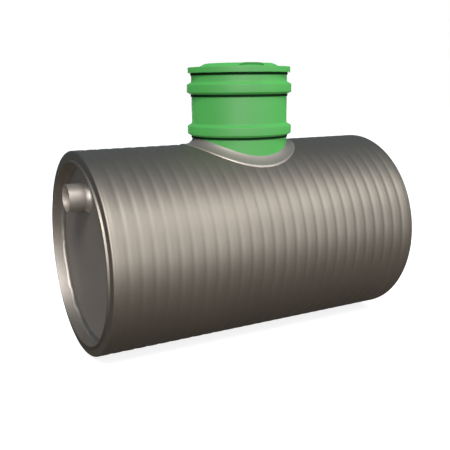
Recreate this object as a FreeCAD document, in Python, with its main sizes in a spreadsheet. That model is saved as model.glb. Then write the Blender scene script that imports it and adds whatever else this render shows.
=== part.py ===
"""Cesspool tank: a lying plastic tank with a turret, an inlet stub and a lift-off lid.

Millimetres, +Z up. X runs along the tank with the inlet end at -X, and the
origin is on the floor under the middle of the tank.
"""
import os

import FreeCAD
import Part
import Sketcher

SIZES = {
    "tank_radius": 560,
    "tank_wall": 60,
    "shell_length": 1868,
    "bed_depth": 2,
    "ring_thickness": 14,
    "lip_height": 10,
    "lip_width": 30,
    "lip_crest": 6,
    "plate_recess": 66,
    "plate_thickness": 20,
    "edge_clearance": 0.5,
    "weld_leg": 23,
    "weld_toe": 2,
    "inlet_rise": 312,
    "inlet_radius": 75,
    "inlet_wall": 5,
    "inlet_reach": 50,
    "inlet_inside": 60,
    "spigot_step": 1,
    "spigot_gap": 2,
    "inlet_weld_radius": 93,
    "inlet_weld_width": 20,
    "fit_clearance": 0.4,
    "riser_offset": 63,
    "shaft_radius": 280,
    "shaft_wall": 12,
    "collar_step": 26,
    "collar_bevel": 14,
    "collar_face": 42,
    "socket_rise": 43,
    "socket_depth": 47,
    "socket_clearance": 2,
    "socket_lip": 5,
    "riser_pitch": 236,
    "rim_rise": 121,
    "seal_width": 8,
    "seal_height": 13,
    "lid_seal_drop": 1,
    "saddle_reach": 60,
    "saddle_flange": 5,
    "saddle_sleeve": 6,
    "saddle_rise": 28,
    "saddle_trim_radius": 510,
    "lid_overhang": 19,
    "lid_height": 32,
    "lid_edge": 3,
    "lid_spigot_depth": 20,
    "lid_spigot_clearance": 5,
    "lid_spigot_wall": 12,
    "lid_skin": 18,
    "cone_inset": 65,
    "cone_height": 20,
    "cone_run": 36.5,
    "lug_length": 140,
    "lug_width": 26,
    "lug_proud": 1,
    "lug_inset": 18,
    "lug_turn": 11,
}

STAVES = [
    "shell_keel",
    "shell_bilge_back",
    "shell_flank_back",
    "shell_crown_back",
    "shell_crown_front",
    "shell_flank_front",
    "shell_bilge_front",
]

AXIS_Z = "(sizes.tank_radius - sizes.bed_depth)"
CROWN_Z = "(2 * sizes.tank_radius - sizes.bed_depth)"
BORE = "(sizes.tank_radius - sizes.tank_wall)"
END_X = "(sizes.shell_length / 2 + sizes.ring_thickness)"
INLET_Z = "(" + AXIS_Z + " + sizes.inlet_rise)"
INLET_HOLE = "(sizes.inlet_radius - sizes.spigot_step + sizes.fit_clearance)"
UPPER_RISE = "(sizes.socket_rise + sizes.riser_pitch)"
RIM_RISE = "(" + UPPER_RISE + " + sizes.rim_rise)"
COLLAR = "(sizes.shaft_radius + sizes.collar_step)"
LID_EDGE = "(sizes.shaft_radius + sizes.lid_overhang)"
CONE_FOOT = "(" + LID_EDGE + " - sizes.cone_inset)"

X_AXIS = FreeCAD.Vector(1, 0, 0)
Y_AXIS = FreeCAD.Vector(0, 1, 0)
Z_AXIS = FreeCAD.Vector(0, 0, 1)
UPRIGHT = FreeCAD.Rotation()
ALONG_X = FreeCAD.Rotation(Y_AXIS, 90)
AGAINST_X = FreeCAD.Rotation(Y_AXIS, -90)

doc = FreeCAD.newDocument("cesspool_tank")
sheet = doc.addObject("Spreadsheet::Sheet", "sizes")
for row, (alias, value) in enumerate(SIZES.items(), start=1):
    sheet.set("A%d" % row, alias)
    sheet.set("B%d" % row, str(value))
    sheet.setAlias("B%d" % row, alias)
doc.recompute()

nodes = {}


def place(shape_object, rotation, x="0 mm", y="0 mm", z="0 mm"):
    """Turn an object and bind its position to expressions on the sheet."""
    shape_object.Placement = FreeCAD.Placement(FreeCAD.Vector(), rotation)
    for axis, expression in (("x", x), ("y", y), ("z", z)):
        shape_object.setExpression(".Placement.Base." + axis, expression)
    return shape_object


def keep(node, shape_object):
    """Make an object one of the named sub-parts."""
    shape_object.Label = node
    nodes[node] = shape_object
    return shape_object


def turned(name, profile, angle=None):
    """Body turned about its own Z axis from a closed profile of (radius, height) expressions."""
    body = doc.addObject("PartDesign::Body", name)
    sketch = body.newObject("Sketcher::SketchObject", name + "_profile")
    for feature in body.Origin.OriginFeatures:
        if feature.Role == "XZ_Plane":
            sketch.AttachmentSupport = [(feature, "")]
    sketch.MapMode = "FlatFace"
    corners = []
    for radius, height in profile:
        across = float(sheet.evalExpression(radius))
        up = float(sheet.evalExpression(height))
        corners.append(FreeCAD.Vector(across, up, 0))
    count = len(corners)
    for index in range(count):
        sketch.addGeometry(Part.LineSegment(corners[index], corners[(index + 1) % count]), False)
    for index in range(count):
        sketch.addConstraint(Sketcher.Constraint("Coincident", index, 2, (index + 1) % count, 1))
    for index, (radius, height) in enumerate(profile):
        for kind, value, expression in (
            ("DistanceX", corners[index].x, radius),
            ("DistanceY", corners[index].y, height),
        ):
            number = sketch.addConstraint(Sketcher.Constraint(kind, -1, 1, index, 1, value))
            sketch.setExpression("Constraints[%d]" % number, expression)
    turn = body.newObject("PartDesign::Revolution", name + "_turn")
    turn.Profile = sketch
    turn.ReferenceAxis = (sketch, ["V_Axis"])
    turn.Angle = 360
    if angle:
        turn.Midplane = True
        turn.Angle = angle
    body.Tip = turn
    return body


def cylinder(name, radius, height, rotation, x="0 mm", y="0 mm", z="0 mm"):
    """Plain cylinder whose sizes and position are expressions on the sheet."""
    solid = doc.addObject("Part::Cylinder", name)
    solid.setExpression("Radius", radius)
    solid.setExpression("Height", height)
    return place(solid, rotation, x, y, z)


def cut(name, base, tool):
    """One object less another."""
    result = doc.addObject("Part::Cut", name)
    result.Base = base
    result.Tool = tool
    return result


def common(name, base, tool):
    """What two objects share."""
    result = doc.addObject("Part::Common", name)
    result.Base = base
    result.Tool = tool
    return result


def build_shell():
    """Wall of the tank in seven staves, with the turret hole in the crown and a flat under the keel."""
    stave_profile = [
        (BORE, "0 mm"),
        ("sizes.tank_radius", "0 mm"),
        ("sizes.tank_radius", "sizes.shell_length"),
        (BORE, "sizes.shell_length"),
    ]
    stave_angle = 360.0 / len(STAVES)
    for index, node in enumerate(STAVES):
        rotation = FreeCAD.Rotation(X_AXIS, index * stave_angle).multiply(ALONG_X)
        body = turned(node + "_stave", stave_profile, stave_angle)
        place(body, rotation, "-sizes.shell_length / 2", "0 mm", AXIS_Z)
        if "crown" in node:
            hole = cylinder(
                node + "_hole",
                "sizes.shaft_radius + sizes.fit_clearance",
                "2 * sizes.tank_radius",
                UPRIGHT,
                "sizes.riser_offset",
                "0 mm",
                AXIS_Z,
            )
            keep(node, cut(node, body, hole))
        elif "keel" in node:
            keep(node, cut(node, body, bed_block(node)))
        else:
            keep(node, body)


def bed_block(name):
    """Block under the floor plane that takes the flat off a lowest face."""
    block = doc.addObject("Part::Box", name + "_bed")
    block.setExpression("Length", "2 * sizes.shell_length")
    block.setExpression("Width", "2 * sizes.tank_radius")
    block.setExpression("Height", "sizes.tank_radius")
    return place(block, UPRIGHT, "-sizes.shell_length", "-sizes.tank_radius", "-sizes.tank_radius")


def build_end(side, rotation, sign):
    """Closing ring of one end and its plate, welded in round the edge; sign is - at the inlet end."""
    flat_s = "sizes.lip_height"
    back_s = "sizes.lip_height + sizes.ring_thickness"
    ring = turned(side + "_end_ring_turned", [
        (BORE, "0 mm"),
        (BORE + " + sizes.lip_crest", "0 mm"),
        (BORE + " + sizes.lip_width", flat_s),
        ("sizes.tank_radius", flat_s),
        ("sizes.tank_radius", back_s),
        (BORE, back_s),
    ])
    place(ring, rotation, sign + "(" + END_X + " + sizes.lip_height)", "0 mm", AXIS_Z)
    keep(side + "_end_ring", cut(side + "_end_ring", ring, bed_block(side + "_end_ring")))

    rim = "(" + BORE + " - sizes.edge_clearance)"
    back = "sizes.weld_leg + sizes.plate_thickness"
    plate = turned(side + "_end_plate_turned" if sign == "-" else side + "_end_plate", [
        ("0 mm", "sizes.weld_leg"),
        (rim + " - sizes.weld_leg", "sizes.weld_leg"),
        (rim + " - sizes.weld_toe", "0 mm"),
        (rim, "0 mm"),
        (rim, back),
        ("0 mm", back),
    ])
    face_x = "(" + END_X + " - sizes.plate_recess)"
    place(plate, rotation, sign + "(" + face_x + " + sizes.weld_leg)", "0 mm", AXIS_Z)
    if sign == "-":
        hole = cylinder(
            "inlet_hole",
            INLET_HOLE,
            "4 * sizes.plate_thickness",
            ALONG_X,
            "-" + face_x + " - sizes.plate_thickness",
            "0 mm",
            INLET_Z,
        )
        keep("inlet_end_plate", cut("inlet_end_plate", plate, hole))
    else:
        keep(side + "_end_plate", plate)


def build_inlet():
    """Pipe stub through the inlet end's plate, shouldered behind its free end, and the flared weld round it."""
    length = "sizes.inlet_reach + sizes.plate_recess + sizes.plate_thickness + sizes.inlet_inside"
    bore = "sizes.inlet_radius - sizes.inlet_wall"
    free = "sizes.inlet_reach + sizes.plate_recess - sizes.inlet_weld_width - sizes.spigot_gap"
    pipe = turned("inlet_pipe", [
        (bore, "0 mm"),
        ("sizes.inlet_radius", "0 mm"),
        ("sizes.inlet_radius", free),
        ("sizes.inlet_radius - sizes.spigot_step", free),
        ("sizes.inlet_radius - sizes.spigot_step", length),
        (bore, length),
    ])
    place(pipe, ALONG_X, "-" + END_X + " - sizes.inlet_reach", "0 mm", INLET_Z)
    keep("inlet_pipe", pipe)

    weld = turned("inlet_weld", [
        (INLET_HOLE, "0 mm"),
        ("sizes.inlet_radius + sizes.weld_toe", "0 mm"),
        ("sizes.inlet_weld_radius", "sizes.inlet_weld_width - sizes.weld_toe"),
        ("sizes.inlet_weld_radius", "sizes.inlet_weld_width"),
        (INLET_HOLE, "sizes.inlet_weld_width"),
    ])
    weld_x = "-" + END_X + " + sizes.plate_recess - sizes.inlet_weld_width"
    place(weld, ALONG_X, weld_x, "0 mm", INLET_Z)
    keep("inlet_weld", weld)


def build_neck():
    """Pipe that stands in the crown's hole, cut flush with the inside of the wall."""
    inner = "sizes.shaft_radius - sizes.shaft_wall"
    foot = "0.5 * sizes.tank_radius"
    top = "sizes.tank_radius + sizes.socket_rise + sizes.socket_depth"
    tube = turned("riser_neck_tube", [
        (inner, foot),
        ("sizes.shaft_radius", foot),
        ("sizes.shaft_radius", top),
        (inner, top),
    ])
    place(tube, UPRIGHT, "sizes.riser_offset", "0 mm", AXIS_Z)
    bore = cylinder(
        "riser_neck_bore", BORE, "sizes.shell_length", ALONG_X, "-sizes.shell_length / 2", "0 mm", AXIS_Z
    )
    keep("riser_neck", cut("riser_neck", tube, bore))


def build_saddle():
    """Flared collar that joins the neck to the tank's round back."""
    below = "(sizes.tank_radius + sizes.fit_clearance)"
    half = "-sizes.shell_length / 2"
    trim_z = "sizes.tank_radius + sizes.saddle_rise - sizes.saddle_trim_radius"
    disc = common(
        "saddle_disc",
        cylinder("saddle_back", below + " + sizes.saddle_flange", "sizes.shell_length", ALONG_X, half, "0 mm", AXIS_Z),
        cylinder(
            "saddle_edge", "sizes.shaft_radius + sizes.saddle_reach", "2 * sizes.tank_radius", UPRIGHT,
            "sizes.riser_offset", "0 mm", AXIS_Z,
        ),
    )
    sleeve = common(
        "saddle_sleeve_solid",
        cylinder(
            "saddle_trim", "sizes.saddle_trim_radius", "sizes.shell_length", ALONG_X,
            half, "0 mm", AXIS_Z + " + " + trim_z,
        ),
        cylinder(
            "saddle_post", "sizes.shaft_radius + sizes.fit_clearance + sizes.saddle_sleeve",
            "2 * sizes.tank_radius", UPRIGHT, "sizes.riser_offset", "0 mm", AXIS_Z,
        ),
    )
    solid = doc.addObject("Part::Fuse", "saddle_solid")
    solid.Base = disc
    solid.Tool = sleeve
    hollow = cut(
        "saddle_hollow",
        solid,
        cylinder("saddle_seat", below, "2 * sizes.shell_length", ALONG_X, "-sizes.shell_length", "0 mm", AXIS_Z),
    )
    opening = cylinder(
        "saddle_opening", "sizes.shaft_radius + sizes.fit_clearance", "3 * sizes.tank_radius", UPRIGHT,
        "sizes.riser_offset", "0 mm", AXIS_Z,
    )
    keep("riser_saddle", cut("riser_saddle", hollow, opening))


def build_riser(node, base, top):
    """Length of turret pipe with a beaded socket at its foot; heights are above the tank's crown."""
    inner = "sizes.shaft_radius - sizes.shaft_wall"
    mouth = "sizes.shaft_radius + sizes.socket_clearance"
    body = turned(node, [
        (mouth, base),
        ("sizes.shaft_radius + sizes.socket_lip", base),
        (COLLAR, base + " + sizes.collar_bevel"),
        (COLLAR, base + " + sizes.collar_bevel + sizes.collar_face"),
        ("sizes.shaft_radius", base + " + 2 * sizes.collar_bevel + sizes.collar_face"),
        ("sizes.shaft_radius", top),
        (inner, top),
        (inner, base + " + sizes.socket_depth"),
        (mouth, base + " + sizes.socket_depth"),
    ])
    place(body, UPRIGHT, "sizes.riser_offset", "0 mm", CROWN_Z)
    keep(node, body)


def build_seal(node, top):
    """Rubber ring round a shaft with its upper face at the given height above the crown."""
    inner = "sizes.shaft_radius + sizes.fit_clearance"
    outer = "sizes.shaft_radius + sizes.seal_width"
    bottom = top + " - sizes.seal_height"
    body = turned(node, [(inner, bottom), (outer, bottom), (outer, top), (inner, top)])
    place(body, UPRIGHT, "sizes.riser_offset", "0 mm", CROWN_Z)
    keep(node, body)


def build_lid():
    """Lift-off lid with a spigot in the turret's mouth and two lifting lugs on its cone."""
    rim = "sizes.lid_spigot_depth"
    shoulder = rim + " + sizes.lid_height"
    top = shoulder + " + sizes.lid_edge + sizes.cone_height"
    spigot = "(sizes.shaft_radius - sizes.shaft_wall - sizes.lid_spigot_clearance)"
    cover = turned("lid_cover", [
        ("0 mm", shoulder + " - sizes.lid_skin"),
        (spigot + " - sizes.lid_spigot_wall", shoulder + " - sizes.lid_skin"),
        (spigot + " - sizes.lid_spigot_wall", "0 mm"),
        (spigot, "0 mm"),
        (spigot, rim),
        (LID_EDGE, rim),
        (LID_EDGE, shoulder),
        (CONE_FOOT, shoulder + " + sizes.lid_edge"),
        (CONE_FOOT + " - sizes.cone_run", top),
        ("0 mm", top),
    ])
    foot_z = CROWN_Z + " + " + RIM_RISE + " - sizes.lid_spigot_depth"
    place(cover, UPRIGHT, "sizes.riser_offset", "0 mm", foot_z)

    lug_radius = float(sheet.evalExpression(CONE_FOOT + " - sizes.lug_inset"))
    lugs = []
    for name, side in (("front", -1), ("back", 1)):
        lug = doc.addObject("Part::Box", "lid_lug_" + name)
        lug.setExpression("Length", "sizes.lug_length")
        lug.setExpression("Width", "sizes.lug_width")
        lug.setExpression("Height", "sizes.cone_height + sizes.lug_proud")
        turn = FreeCAD.Rotation(Z_AXIS, -sheet.lug_turn)
        corner = FreeCAD.Vector(-sheet.lug_length / 2, side * lug_radius - sheet.lug_width / 2, 0)
        corner = turn.multVec(corner)
        lug.Placement = FreeCAD.Placement(FreeCAD.Vector(corner.x, corner.y, 0), turn)
        lug.setExpression(".Placement.Base.x", "sizes.riser_offset + (%.6f)" % corner.x)
        lug.setExpression(".Placement.Base.z", foot_z + " + " + shoulder + " + sizes.lid_edge")
        lugs.append(lug)
    lid = doc.addObject("Part::MultiFuse", "lid")
    lid.Shapes = [cover] + lugs
    keep("lid", lid)


build_shell()
build_end("inlet", ALONG_X, "-")
build_end("blind", AGAINST_X, "")
build_inlet()
build_neck()
build_saddle()
build_riser("lower_riser", "sizes.socket_rise", UPPER_RISE + " + sizes.socket_depth")
build_riser("upper_riser", UPPER_RISE, RIM_RISE)
build_seal("lower_seal", "sizes.socket_rise")
build_seal("upper_seal", UPPER_RISE)
build_seal("lid_seal", RIM_RISE + " - sizes.lid_seal_drop")
build_lid()
doc.recompute()

for item in doc.Objects:
    if "Invalid" in item.State or "Error" in item.State:
        raise RuntimeError("%s is %s" % (item.Label, item.State))
os.makedirs("parts", exist_ok=True)
for node, item in nodes.items():
    if item.Shape.isNull() or not item.Shape.isValid():
        raise RuntimeError("%s has no valid shape" % node)
    item.Shape.exportStep("parts/%s.step" % node)
    print(node, len(item.Shape.Solids), round(item.Shape.Volume / 1e6, 2))
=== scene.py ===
"""Cesspool tank: looks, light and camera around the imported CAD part, in metres and in its frame."""
import math

import bpy
from mathutils import Matrix, Vector, noise


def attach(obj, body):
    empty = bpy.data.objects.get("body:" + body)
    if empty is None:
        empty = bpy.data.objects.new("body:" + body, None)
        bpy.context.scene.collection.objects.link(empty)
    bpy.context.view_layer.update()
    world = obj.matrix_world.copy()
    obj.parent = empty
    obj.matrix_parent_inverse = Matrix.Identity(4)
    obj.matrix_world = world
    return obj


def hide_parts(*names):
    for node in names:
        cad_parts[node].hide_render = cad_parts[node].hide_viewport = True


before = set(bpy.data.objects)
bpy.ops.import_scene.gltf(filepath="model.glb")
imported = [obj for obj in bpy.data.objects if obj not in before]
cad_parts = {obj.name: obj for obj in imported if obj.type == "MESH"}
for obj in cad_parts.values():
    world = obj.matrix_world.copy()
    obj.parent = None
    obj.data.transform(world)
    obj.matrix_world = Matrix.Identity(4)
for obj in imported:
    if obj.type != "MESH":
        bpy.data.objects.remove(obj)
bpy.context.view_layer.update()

# The tank and its ends, as in the CAD
BED_DEPTH = 0.002
RADIUS = 0.560
WALL = 0.060
BORE = RADIUS - WALL
AXIS_Z = RADIUS - BED_DEPTH
CROWN_Z = 2 * RADIUS - BED_DEPTH
SHELL_LENGTH = 1.868
RING = 0.014
LIP = 0.010
END_X = SHELL_LENGTH / 2 + RING
RECESS = 0.066
PLATE = 0.020
WELD = 0.023
FIT = 0.0004

# The inlet stub, as in the CAD
INLET_Z = AXIS_Z + 0.312
INLET_RADIUS = 0.075
INLET_BORE = 0.070
INLET_REACH = 0.050
INLET_INSIDE = 0.060

# The turret, with heights above the tank's crown; its seals are slimmer than the CAD's
RISER_X = 0.063
SHAFT = 0.280
SHAFT_BORE = 0.268
COLLAR = 0.306
COLLAR_BEVEL = 0.014
COLLAR_FACE = 0.042
SOCKET_DEPTH = 0.047
SOCKET_MOUTH = SHAFT + 0.002
SOCKET_LIP = SHAFT + 0.005
LOWER_RISE = 0.043
UPPER_RISE = LOWER_RISE + 0.236
RIM_RISE = UPPER_RISE + 0.121
SEAL_OUTER = SHAFT + 0.0045
SEAL_HEIGHT = 0.013
LID_SEAL_DROP = 0.001

# The lid, with heights above the turret's rim; its top is slightly lower than the CAD's
LID_EDGE = 0.299
LID_HEIGHT = 0.032
LID_HOLLOW = 0.014
LID_TOP = 0.053
SPIGOT = 0.263
SPIGOT_BORE = 0.251
SPIGOT_DEPTH = 0.020
CONE_FOOT = 0.234
CONE_FOOT_RISE = 0.035
CONE_HEAD = 0.1975
LUG_RADIUS = 0.216
LUG_HALF_LENGTH = 0.070
LUG_HALF_WIDTH = 0.013
LUG_FOOT = 0.034
LUG_SHOULDER = 0.040
LUG_RISE = 0.0135
LUG_BEVEL = 0.002
LUG_TURNS = (("front", -11), ("back", 169))

# Forms that the CAD leaves to the scene
RIB_COUNT = 27
RIB_DEPTH = 0.0022
RIB_SHARPNESS = 2.6
BEAD_UNEVEN = 0.010
BEAD_WAVES = 7
BEAD_FINE_WAVES = 2.6
BEAD_FINE_SHARE = 0.35
BEAD_LIFT = 0.2
FLARE_LENGTH = 0.026
FLARE_RUN = 0.0255
FLARE_EDGE = 0.0008
FLARE_SLOPE = 0.005
FLARE_FOOT = 0.006
SADDLE_REACH = 0.336
SADDLE_LEAN = 0.016
SADDLE_TOP = 0.014
SADDLE_TOP_GAIN = 0.019
SADDLE_LIP = 0.008
SADDLE_LIP_LOSS = 0.004
SADDLE_SKIN = 0.002
SADDLE_HOLLOW = 3.4
SADDLE_BELOW = -0.003

# Fineness of the meshes, and the angles in degrees past which their edges are sharp
RIB_STEPS = 12
BEAD_STEPS = 12
FLARE_STEPS = 12
SADDLE_STEPS = 16
LUG_STEPS = 24
ARC_STEPS = 4
TANK_SEGMENTS = 192
BEAD_SEGMENTS = 288
TURRET_SEGMENTS = 160
HOLE_SEGMENTS = 128
STUB_SEGMENTS = 96
SHARP = 32.0
SHARP_LUG = 40.0
SHARP_SADDLE = 50.0
SHARP_WELD = 60.0

# Light and camera
GLOSSY_SHARE = 0.02
FLOOR_HALF = 30.0
LAMP_COLOUR = (1.0, 0.99, 0.98)
LAMP_AIM = Vector((0.0, 0.0, 0.7))
LAMPS = (  # name, place, watts, width, height
    ("key", (-3.2, -5.9, 7.0), 780.0, 3.0, 3.0),
    ("right", (2.6, -3.8, 3.9), 120.0, 2.8, 2.4),
    ("low", (-0.2, -5.0, 1.1), 118.0, 9.0, 1.0),
    ("left", (-5.4, -8.6, 2.9), 380.0, 2.2, 2.2),
    ("back", (1.2, 4.4, 3.0), 260.0, 3.0, 2.0),
    ("back_low", (2.0, 4.6, 0.6), 120.0, 4.0, 1.0),
)
CAMERA_PLACE = (-1.9087, -3.4288, 1.4481)
CAMERA_HEADING = -28.593
CAMERA_DIP = 11.974
CAMERA_ROLL = -0.611
FOCAL_LENGTH = 52.73
SENSOR_WIDTH = 36.0

STAVES = [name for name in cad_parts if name.startswith("shell_")]


def linked(name, vertices, faces, sharp=SHARP):
    """Mesh object from vertices and faces, smooth except along edges past the sharp angle."""
    mesh = bpy.data.meshes.new(name)
    mesh.from_pydata(vertices, [], faces)
    mesh.validate()
    for polygon in mesh.polygons:
        polygon.use_smooth = True
    mesh.set_sharp_from_angle(angle=math.radians(sharp))
    made = bpy.data.objects.new(name, mesh)
    bpy.context.scene.collection.objects.link(made)
    return made


def rounded(corners):
    """Line of (radius, height) with each corner (radius, height, rounding) turned into an arc."""
    room_beside_arc, room_beside_corner = 0.45, 0.95
    count = len(corners)
    line = []
    for index, (across, up, rounding) in enumerate(corners):
        here = Vector((across, up))
        if rounding <= 0:
            line.append((here.x, here.y))
            continue
        reach = rounding
        towards = []
        for other in (corners[index - 1], corners[(index + 1) % count]):
            side = Vector(other[:2]) - here
            room = room_beside_arc if other[2] > 0 else room_beside_corner
            reach = min(reach, room * side.length)
            towards.append(side.normalized())
        start = here + towards[0] * reach
        end = here + towards[1] * reach
        for step in range(ARC_STEPS + 1):
            t = step / ARC_STEPS
            point = start * (1 - t) ** 2 + here * 2 * t * (1 - t) + end * t ** 2
            line.append((point.x, point.y))
    return line


def lathe(name, profile, matrix, segments=TURRET_SEGMENTS, wobble=None, sharp=SHARP):
    """Closed body turned from a closed profile of (radius, height) about the matrix's Z axis."""
    on_axis = 1e-6
    vertices = []
    rings = []
    for index, (across, up) in enumerate(profile):
        if across < on_axis:
            rings.append([len(vertices)])
            vertices.append(matrix @ Vector((0, 0, up)))
            continue
        ring = []
        for step in range(segments):
            angle = 2 * math.pi * step / segments
            shift = wobble(index, angle) if wobble else (0.0, 0.0)
            radius = across + shift[0]
            point = Vector((radius * math.cos(angle), radius * math.sin(angle), up + shift[1]))
            ring.append(len(vertices))
            vertices.append(matrix @ point)
        rings.append(ring)
    faces = []
    for index, ring in enumerate(rings):
        other = rings[(index + 1) % len(rings)]
        if len(ring) == 1 and len(other) == 1:
            continue
        for step in range(segments):
            ahead = (step + 1) % segments
            if len(ring) == 1:
                faces.append((ring[0], other[ahead], other[step]))
            elif len(other) == 1:
                faces.append((ring[step], ring[ahead], other[0]))
            else:
                faces.append((ring[step], ring[ahead], other[ahead], other[step]))
    return linked(name, vertices, faces, sharp)


def swept(name, sections, closed, sharp=SHARP):
    """Body over closed sections of equal count, joined into a ring or capped at both ends."""
    count = len(sections[0])
    vertices = [point for section in sections for point in section]
    faces = []
    for step in range(len(sections) if closed else len(sections) - 1):
        here = count * step
        ahead = count * ((step + 1) % len(sections))
        for part in range(count):
            after = (part + 1) % count
            faces.append((here + part, ahead + part, ahead + after, here + after))
    if not closed:
        faces.append(tuple(range(count)))
        faces.append(tuple(reversed(range(len(vertices) - count, len(vertices)))))
    return linked(name, vertices, faces, sharp)


def along_x(x, z=AXIS_Z, way=1):
    """Frame on the middle plane whose Z axis runs to +X, or to -X where way is -1."""
    return Matrix.Translation((x, 0, z)) @ Matrix.Rotation(math.radians(90 * way), 4, "Y")


def upright(z):
    """Frame on the turret's axis with its origin at the given height."""
    return Matrix.Translation((RISER_X, 0, z))


def settle(piece):
    """Press what lies below the floor up to it."""
    for vertex in piece.data.vertices:
        vertex.co.z = max(vertex.co.z, 0.0)


def finish_piece(piece, body, material, slot, *nodes):
    """Give a piece its material, its body and the CAD nodes that it stands for."""
    piece.data.materials.clear()
    piece.data.materials.append(material)
    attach(piece, body)
    if nodes:
        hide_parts(*nodes)
    return piece


def add_node(tree, kind, values=None):
    """New shader node with the given values on its input sockets."""
    made = tree.nodes.new(kind)
    for socket, value in (values or {}).items():
        made.inputs[socket].default_value = value
    return made


def plastic(
    name, colour, roughness, grain, bump,
    stretch=(1.0, 1.0, 1.0), variation=0.05, metal=0.0, shine=0.5, chalk=0.0,
):
    """Moulded plastic with a slight cloud of colour, uneven gloss and a fine grain."""
    gloss_spread = 0.05
    grain_height = 0.001
    material = bpy.data.materials.new(name)
    material.use_nodes = True
    tree = material.node_tree
    links = tree.links
    shader = tree.nodes["Principled BSDF"]
    place = add_node(tree, "ShaderNodeTexCoord")
    scale = add_node(tree, "ShaderNodeMapping", {"Scale": stretch})
    links.new(place.outputs["Object"], scale.inputs["Vector"])

    cloud = add_node(tree, "ShaderNodeTexNoise", {"Scale": 3.5, "Detail": 5.0})
    links.new(place.outputs["Object"], cloud.inputs["Vector"])
    tint = add_node(tree, "ShaderNodeValToRGB")
    for element, position, share in zip(
        tint.color_ramp.elements, (0.30, 0.70), (1 - variation, 1 + variation)
    ):
        element.position = position
        element.color = (*(min(1.0, value * share) for value in colour), 1)
    links.new(cloud.outputs["Fac"], tint.inputs["Fac"])
    links.new(tint.outputs["Color"], shader.inputs["Base Color"])

    fine = add_node(tree, "ShaderNodeTexNoise", {"Scale": grain, "Detail": 3.0})
    links.new(scale.outputs["Vector"], fine.inputs["Vector"])
    gloss = add_node(
        tree, "ShaderNodeMapRange",
        {"To Min": roughness - gloss_spread, "To Max": roughness + gloss_spread},
    )
    links.new(fine.outputs["Fac"], gloss.inputs["Value"])
    links.new(gloss.outputs["Result"], shader.inputs["Roughness"])
    raised = add_node(tree, "ShaderNodeBump", {"Strength": bump, "Distance": grain_height})
    links.new(fine.outputs["Fac"], raised.inputs["Height"])
    links.new(raised.outputs["Normal"], shader.inputs["Normal"])
    shader.inputs["Diffuse Roughness"].default_value = chalk
    shader.inputs["Metallic"].default_value = metal
    shader.inputs["Specular IOR Level"].default_value = shine
    return material


TANK = plastic(
    "tank_plastic", (0.263, 0.236, 0.201), roughness=0.52, grain=60.0, bump=0.06,
    stretch=(6.0, 0.5, 0.5), variation=0.04, metal=0.96,
)
# Lighter, fully metallic copy of the tank plastic for the recess's liner and the end beads: painted
# highlight
LINER_HIGHLIGHT = plastic(
    "liner_painted_highlight", (0.370, 0.335, 0.303), roughness=0.51, grain=60.0, bump=0.05, metal=1.0
)
FLARE = plastic(
    "flare_plastic", (0.330, 0.298, 0.266), roughness=0.52, grain=80.0, bump=0.05, metal=0.75
)
END = plastic(
    "end_plastic", (0.160, 0.137, 0.117), roughness=0.60, grain=90.0, bump=0.08, variation=0.06
)
PIPE = plastic(
    "pipe_plastic", (0.390, 0.350, 0.312), roughness=0.48, grain=80.0, bump=0.06, metal=0.75
)
# Near-white copy of the pipe plastic for the weld round the stub's foot: painted highlight
STUB_WELD_HIGHLIGHT = plastic(
    "stub_weld_painted_highlight", (0.560, 0.510, 0.460), roughness=0.48, grain=80.0, bump=0.06, metal=0.85
)
GREEN = plastic(
    "green_plastic", (0.045, 0.258, 0.047), roughness=0.62, grain=120.0, bump=0.03,
    variation=0.03, shine=0.65, chalk=1.0,
)
# Darker copy of the green plastic for the lid's lugs: painted shade on their faces
LUG_SHADE = plastic(
    "lug_painted_shade", (0.034, 0.200, 0.038), roughness=0.50, grain=120.0, bump=0.03,
    variation=0.03, chalk=1.0,
)
# Seal rings, partly real: their near-black green is painted shadow under the collars and the lid rim
SEAL_AND_SHADOW = plastic(
    "seal_rubber", (0.003, 0.020, 0.005), roughness=0.90, grain=200.0, bump=0.10, shine=0.1
)


def build_wall():
    """Round wall with soft ribs and the turret's hole in its crown."""
    pitch = SHELL_LENGTH / RIB_COUNT
    profile = []
    for step in range(RIB_COUNT * RIB_STEPS + 1):
        t = (step % RIB_STEPS) / RIB_STEPS
        dip = (0.5 + 0.5 * math.cos(2 * math.pi * t)) ** RIB_SHARPNESS
        profile.append((RADIUS - RIB_DEPTH * dip, step * pitch / RIB_STEPS))
    profile += [(BORE, SHELL_LENGTH), (BORE, 0.0)]
    wall = lathe("tank_wall", profile, along_x(-SHELL_LENGTH / 2), TANK_SEGMENTS)

    hole_radius = SHAFT + FIT
    low, high = 0.3, 0.9
    hole = lathe(
        "hole_tool",
        [(0, low), (hole_radius, low), (hole_radius, high), (0, high)],
        upright(AXIS_Z),
        HOLE_SEGMENTS,
    )
    cut = wall.modifiers.new("turret_hole", "BOOLEAN")
    cut.operation = "DIFFERENCE"
    cut.solver = "EXACT"
    cut.object = hole
    depsgraph = bpy.context.evaluated_depsgraph_get()
    mesh = bpy.data.meshes.new_from_object(wall.evaluated_get(depsgraph))
    wall.modifiers.clear()
    wall.data = mesh
    bpy.data.objects.remove(hole)
    mesh.set_sharp_from_angle(angle=math.radians(SHARP))
    settle(wall)
    finish_piece(wall, "tank", TANK, "tank_plastic", *STAVES)


def bead_wobble(seed):
    """Uneven inner edge of a weld bead, fading out along the bead's profile."""
    fine_offset = Vector((5, 1, 3))

    def shift(index, angle):
        reach = BEAD_UNEVEN * max(0.0, 1 - index / BEAD_STEPS)
        place = Vector((BEAD_WAVES * math.cos(angle), BEAD_WAVES * math.sin(angle), seed))
        coarse = noise.noise(place)
        fine = noise.noise(place * BEAD_FINE_WAVES + fine_offset)
        return reach * (coarse + BEAD_FINE_SHARE * fine), BEAD_LIFT * reach * fine
    return shift


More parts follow.
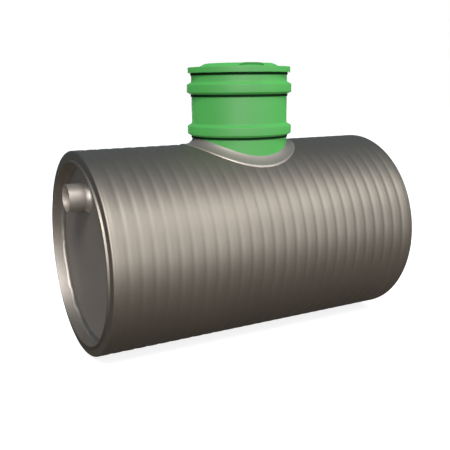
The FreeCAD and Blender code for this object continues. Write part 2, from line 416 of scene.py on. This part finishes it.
def build_end(side, sign, seed):
    """Closing ring, lip, liner, plate and weld bead of one end; sign is -1 at the inlet end."""
    mouth = along_x(sign * (END_X + LIP), way=-sign)
    plate_face = along_x(sign * (END_X - RECESS), way=-sign)
    crest = BORE + 0.007
    rim = BORE - 0.001

    ring_profile = rounded([
        (crest, LIP + 0.002, 0.0),
        (RADIUS, LIP + 0.001, 0.012),
        (RADIUS, LIP + RING, 0.0),
        (crest, LIP + RING, 0.0),
    ])
    ring = lathe(side + "_ring", ring_profile, mouth, TANK_SEGMENTS)
    settle(ring)
    finish_piece(ring, "tank", TANK, "tank_plastic", side + "_end_ring")

    lip_profile = rounded([
        (BORE, 0.0, 0.001),
        (crest, 0.0, 0.005),
        (BORE + 0.010, LIP + 0.003, 0.0),
        (BORE, LIP + 0.003, 0.0),
    ])
    lip = lathe(side + "_lip", lip_profile, mouth, TANK_SEGMENTS)
    finish_piece(lip, "tank", TANK, "tank_plastic")

    liner_profile = rounded([
        (rim, 0.0004, 0.0015),
        (BORE + 0.002, 0.0004, 0.0),
        (BORE + 0.001, LIP + RING - 0.001, 0.0),
        (rim, LIP + RECESS, 0.0),
    ])
    liner = lathe(side + "_liner", liner_profile, mouth, TANK_SEGMENTS)
    # The liner takes the lighter copy of the tank plastic, a painted highlight in the recess
    finish_piece(liner, "tank", LINER_HIGHLIGHT, "tank_plastic")

    plate_profile = [(0.0, 0.0), (rim, 0.0), (rim, PLATE), (0.0, PLATE)]
    plate = lathe(side + "_plate", plate_profile, plate_face, TANK_SEGMENTS)
    finish_piece(plate, "tank", END, "end_plastic", side + "_end_plate")

    bead_profile = []
    for step in range(BEAD_STEPS + 1):
        angle = math.radians(90 - 90 * step / BEAD_STEPS)
        bead_profile.append((rim - WELD + WELD * math.cos(angle), WELD * (math.sin(angle) - 1)))
    bead_profile.append((rim, 0.0))
    bead = lathe(
        side + "_bead", bead_profile, plate_face, BEAD_SEGMENTS, bead_wobble(seed), SHARP_WELD
    )
    # The bead takes the same lighter copy as a painted highlight, though it is the end plate's
    # plastic
    finish_piece(bead, "tank", LINER_HIGHLIGHT, "end_plastic")


def build_inlet():
    """Open pipe stub of the inlet end and the flared weld round its foot."""
    length = INLET_REACH + RECESS + PLATE + INLET_INSIDE
    pipe_profile = rounded([
        (INLET_BORE, 0.0, 0.0015),
        (INLET_RADIUS, 0.0, 0.0015),
        (INLET_RADIUS, length, 0.0),
        (INLET_BORE, length, 0.0),
    ])
    stub_end = along_x(-END_X - INLET_REACH, INLET_Z)
    pipe = lathe("inlet_stub", pipe_profile, stub_end, STUB_SEGMENTS)
    finish_piece(pipe, "tank", PIPE, "pipe_plastic", "inlet_pipe")

    inner = INLET_RADIUS + FIT
    flare = [(inner, 0.0)]
    for step in range(FLARE_STEPS + 1):
        t = step / FLARE_STEPS
        radius = INLET_RADIUS + FLARE_EDGE + FLARE_SLOPE * t + FLARE_FOOT * t ** 5
        flare.append((radius, FLARE_RUN * t))
    flare += [(INLET_RADIUS + 0.012, FLARE_LENGTH), (inner, FLARE_LENGTH)]
    flare_start = along_x(-END_X + RECESS - FLARE_LENGTH, INLET_Z)
    weld = lathe("inlet_flare", flare, flare_start, STUB_SEGMENTS, sharp=SHARP_WELD)
    # The weld takes the near-white copy of the pipe plastic as a painted highlight
    finish_piece(weld, "tank", STUB_WELD_HIGHLIGHT, "pipe_plastic", "inlet_weld")


def round_turret(across, angle):
    """Place (x, y) at a distance from the turret's axis and an angle round it."""
    return RISER_X + across * math.cos(angle), across * math.sin(angle)


def back_height(radius, y):
    """Height above the floor of a round back on the tank's axis, at y from its middle plane."""
    return AXIS_Z + math.sqrt(radius ** 2 - y ** 2)


def build_saddle():
    """Flare between the neck and the tank's back, hollow in its middle, with a raised lip."""
    inner = SHAFT + FIT
    sections = []
    for step in range(TANK_SEGMENTS):
        angle = 2 * math.pi * step / TANK_SEGMENTS
        ends = math.cos(angle) ** 2
        reach = SADDLE_REACH - SADDLE_LEAN * math.cos(angle)
        top = SADDLE_TOP + SADDLE_TOP_GAIN * ends - SADDLE_SKIN
        lip = SADDLE_LIP - SADDLE_LIP_LOSS * ends
        outline = []
        for part in range(SADDLE_STEPS + 1):
            t = part / SADDLE_STEPS
            hollow = top * (1 - t) ** SADDLE_HOLLOW + (lip - SADDLE_SKIN) * t ** 4
            outline.append((inner + (reach - inner) * t, SADDLE_SKIN + hollow))
        outline += [
            (reach + 0.002, 0.97 * lip),
            (reach + 0.005, 0.70 * lip),
            (reach + 0.007, 0.0),
            (reach + 0.004, SADDLE_BELOW),
            (inner, SADDLE_BELOW),
        ]
        section = []
        for across, rise in outline:
            x, y = round_turret(across, angle)
            section.append(Vector((x, y, back_height(RADIUS, y) + rise)))
        sections.append(section)
    saddle = swept("saddle_flare", sections, True, SHARP_SADDLE)
    finish_piece(saddle, "tank", FLARE, "tank_plastic", "riser_saddle")


def build_neck():
    """Pipe that stands in the crown, its foot following the inside of the wall."""
    top = CROWN_Z + LOWER_RISE + SOCKET_DEPTH
    sections = []
    for step in range(TURRET_SEGMENTS):
        angle = 2 * math.pi * step / TURRET_SEGMENTS
        x, y = round_turret(SHAFT, angle)
        inner_x, inner_y = round_turret(SHAFT_BORE, angle)
        sections.append([
            Vector((x, y, back_height(BORE, y))),
            Vector((x, y, top)),
            Vector((inner_x, inner_y, top)),
            Vector((inner_x, inner_y, back_height(BORE, inner_y))),
        ])
    neck = swept("turret_neck", sections, True)
    finish_piece(neck, "tank", GREEN, "green_plastic", "riser_neck")


def build_riser(name, node, base, top):
    """Length of turret pipe with a beaded socket; heights are above the tank's crown."""
    profile = rounded([
        (SOCKET_MOUTH, base, 0.0),
        (SOCKET_LIP, base, 0.002),
        (COLLAR, base + COLLAR_BEVEL - 0.003, 0.003),
        (COLLAR, base + COLLAR_BEVEL + COLLAR_FACE, 0.005),
        (SHAFT, base + 2 * COLLAR_BEVEL + COLLAR_FACE, 0.006),
        (SHAFT, top, 0.0015),
        (SHAFT_BORE, top, 0.0015),
        (SHAFT_BORE, base + SOCKET_DEPTH, 0.0),
        (SOCKET_MOUTH, base + SOCKET_DEPTH, 0.0),
    ])
    riser = lathe(name, profile, upright(CROWN_Z))
    finish_piece(riser, "tank", GREEN, "green_plastic", node)


def build_seal(name, node, top):
    """Ring under a socket or the lid, in near-black green that is painted shadow under the overhang;
    its height is above the tank's crown.
    """
    inner = SHAFT + FIT
    profile = rounded([
        (inner, top - SEAL_HEIGHT, 0.0),
        (SEAL_OUTER, top - SEAL_HEIGHT, 0.0015),
        (SEAL_OUTER, top, 0.0),
        (inner, top, 0.0),
    ])
    seal = lathe(name, profile, upright(CROWN_Z))
    # The ring's near-black green is painted shadow under the overhang above it
    finish_piece(seal, "tank", SEAL_AND_SHADOW, "seal_rubber", node)


def build_lid():
    """Lid with a flat rim, a cone up to its raised middle and two low lifting lugs."""
    profile = rounded([
        (0.0, LID_HOLLOW, 0.0),
        (SPIGOT_BORE, LID_HOLLOW, 0.004),
        (SPIGOT_BORE, -SPIGOT_DEPTH, 0.002),
        (SPIGOT, -SPIGOT_DEPTH, 0.002),
        (SPIGOT, 0.0, 0.0),
        (LID_EDGE, 0.0, 0.002),
        (LID_EDGE, LID_HEIGHT, 0.004),
        (CONE_FOOT, CONE_FOOT_RISE, 0.010),
        (CONE_HEAD, LID_TOP, 0.008),
        (0.0, LID_TOP, 0.0),
    ])
    lid = lathe("lid_cover", profile, upright(CROWN_Z + RIM_RISE))
    finish_piece(lid, "lid", GREEN, "green_plastic", "lid")
    for name, turn in LUG_TURNS:
        lug = build_lug("lid_lug_" + name, turn)
        # The lugs take the darker copy of the green plastic, as painted shade
        finish_piece(lug, "lid", LUG_SHADE, "green_plastic")


def build_lug(name, turn):
    """Low rounded lug across the lid's cone, at an angle in degrees from the front."""
    spin = upright(CROWN_Z + RIM_RISE) @ Matrix.Rotation(math.radians(turn), 4, "Z")
    sections = []
    for step in range(LUG_STEPS + 1):
        t = 2 * step / LUG_STEPS - 1
        crest = LUG_SHOULDER + LUG_RISE * max(0.0, 1 - abs(t) ** 6)
        outline = (
            (-0.006, LUG_FOOT),
            (-LUG_HALF_WIDTH, crest - LUG_BEVEL),
            (-0.011, crest),
            (0.008, crest),
            (LUG_HALF_WIDTH, crest - LUG_BEVEL),
            (LUG_HALF_WIDTH, LUG_FOOT),
        )
        x = LUG_HALF_LENGTH * t
        sections.append([spin @ Vector((x, y - LUG_RADIUS, z)) for y, z in outline])
    return swept(name, sections, False, SHARP_LUG)


def combined(tree, operation, *values):
    """Socket with the result of a math node, whose two inputs are sockets or plain numbers."""
    node = add_node(tree, "ShaderNodeMath")
    node.operation = operation
    for slot, value in zip(node.inputs, values):
        if isinstance(value, float):
            slot.default_value = value
        else:
            tree.links.new(value, slot)
    return node.outputs["Value"]


def sees_backdrop(tree):
    """Socket that is 1 for rays that see the white backdrop, and a small share for glossy rays."""
    path = add_node(tree, "ShaderNodeLightPath").outputs
    share = combined(tree, "MULTIPLY", path["Is Glossy Ray"], GLOSSY_SHARE)
    through = combined(tree, "MAXIMUM", path["Is Transmission Ray"], share)
    return combined(tree, "MAXIMUM", path["Is Camera Ray"], through)


def floor_paint():
    """White floor that shows the object's shadow, and that throws little light back at it."""
    paint = bpy.data.materials.new("floor_paint")
    paint.use_nodes = True
    tree = paint.node_tree
    links = tree.links
    tree.nodes.remove(tree.nodes["Principled BSDF"])
    dull = add_node(tree, "ShaderNodeBsdfDiffuse", {"Color": (0.065, 0.05, 0.04, 1)})
    shade = add_node(tree, "ShaderNodeBsdfDiffuse", {"Color": (0.34, 0.34, 0.34, 1)})
    glow = add_node(tree, "ShaderNodeEmission")
    place = add_node(tree, "ShaderNodeTexCoord")
    reach = add_node(tree, "ShaderNodeVectorMath")
    reach.operation = "LENGTH"
    links.new(place.outputs["Object"], reach.inputs[0])
    fade = add_node(
        tree, "ShaderNodeMapRange",
        {"From Min": 1.0, "From Max": 4.0, "To Min": 0.80, "To Max": 1.0},
    )
    links.new(reach.outputs["Value"], fade.inputs["Value"])
    links.new(fade.outputs["Result"], glow.inputs["Strength"])
    seen = add_node(tree, "ShaderNodeAddShader")
    links.new(shade.outputs["BSDF"], seen.inputs[0])
    links.new(glow.outputs["Emission"], seen.inputs[1])
    mix = add_node(tree, "ShaderNodeMixShader")
    links.new(sees_backdrop(tree), mix.inputs["Fac"])
    links.new(dull.outputs["BSDF"], mix.inputs[1])
    links.new(seen.outputs["Shader"], mix.inputs[2])
    links.new(mix.outputs["Shader"], tree.nodes["Material Output"].inputs["Surface"])
    return paint


def build_floor():
    """Plain floor under the tank."""
    signs = ((-1, -1), (1, -1), (1, 1), (-1, 1))
    corners = [Vector((x * FLOOR_HALF, y * FLOOR_HALF, 0)) for x, y in signs]
    floor = linked("floor", corners, [(0, 1, 2, 3)])
    floor.data.materials.append(floor_paint())


def build_world():
    """White backdrop, with a cool dim fill for the rays that don't see it."""
    world = bpy.data.worlds.new("surroundings")
    world.use_nodes = True
    bpy.context.scene.world = world
    tree = world.node_tree
    links = tree.links
    backdrop = tree.nodes["Background"]
    path = add_node(tree, "ShaderNodeLightPath")
    fill = add_node(tree, "ShaderNodeValToRGB")
    fill.color_ramp.elements[0].color = (0.035, 0.080, 0.130, 1)
    fill.color_ramp.elements[1].color = (0.330, 0.410, 0.500, 1)
    links.new(path.outputs["Is Diffuse Ray"], fill.inputs["Fac"])
    links.new(fill.outputs["Color"], backdrop.inputs["Color"])
    white = add_node(tree, "ShaderNodeBackground", {"Color": (1, 1, 1, 1), "Strength": 1.0})
    mix = add_node(tree, "ShaderNodeMixShader")
    links.new(sees_backdrop(tree), mix.inputs["Fac"])
    links.new(backdrop.outputs["Background"], mix.inputs[1])
    links.new(white.outputs["Background"], mix.inputs[2])
    links.new(mix.outputs["Shader"], tree.nodes["World Output"].inputs["Surface"])


def build_lamps():
    """Soft lamps, of which the high one behind isn't seen in reflections."""
    for name, place, watts, width, height in LAMPS:
        lamp = bpy.data.lights.new(name, "AREA")
        lamp.shape = "RECTANGLE"
        lamp.size = width
        lamp.size_y = height
        lamp.energy = watts
        lamp.color = LAMP_COLOUR
        holder = bpy.data.objects.new(name, lamp)
        bpy.context.scene.collection.objects.link(holder)
        holder.location = place
        holder.visible_glossy = name != "back"
        aim = LAMP_AIM - Vector(place)
        holder.rotation_euler = aim.to_track_quat("-Z", "Y").to_euler()


def build_camera():
    """The photo's camera, as fitted to its outline."""
    lens = bpy.data.cameras.new("camera")
    lens.sensor_width = SENSOR_WIDTH
    lens.lens = FOCAL_LENGTH
    viewer = bpy.data.objects.new("camera", lens)
    bpy.context.scene.collection.objects.link(viewer)
    turn = (
        Matrix.Rotation(math.radians(CAMERA_HEADING), 4, "Z")
        @ Matrix.Rotation(math.radians(90 - CAMERA_DIP), 4, "X")
        @ Matrix.Rotation(math.radians(CAMERA_ROLL), 4, "Z")
    )
    viewer.matrix_world = Matrix.Translation(CAMERA_PLACE) @ turn
    bpy.context.scene.camera = viewer
    bpy.context.scene.view_settings.view_transform = "Standard"


build_wall()
build_end("inlet", -1, 1.0)
build_end("blind", 1, 4.0)
build_inlet()
build_saddle()
build_neck()
build_riser("turret_lower", "lower_riser", LOWER_RISE, UPPER_RISE + SOCKET_DEPTH)
build_riser("turret_upper", "upper_riser", UPPER_RISE, RIM_RISE)
build_seal("seal_low", "lower_seal", LOWER_RISE)
build_seal("seal_high", "upper_seal", UPPER_RISE)
build_seal("seal_lid", "lid_seal", RIM_RISE - LID_SEAL_DROP)
build_lid()
build_floor()
build_world()
build_lamps()
build_camera()
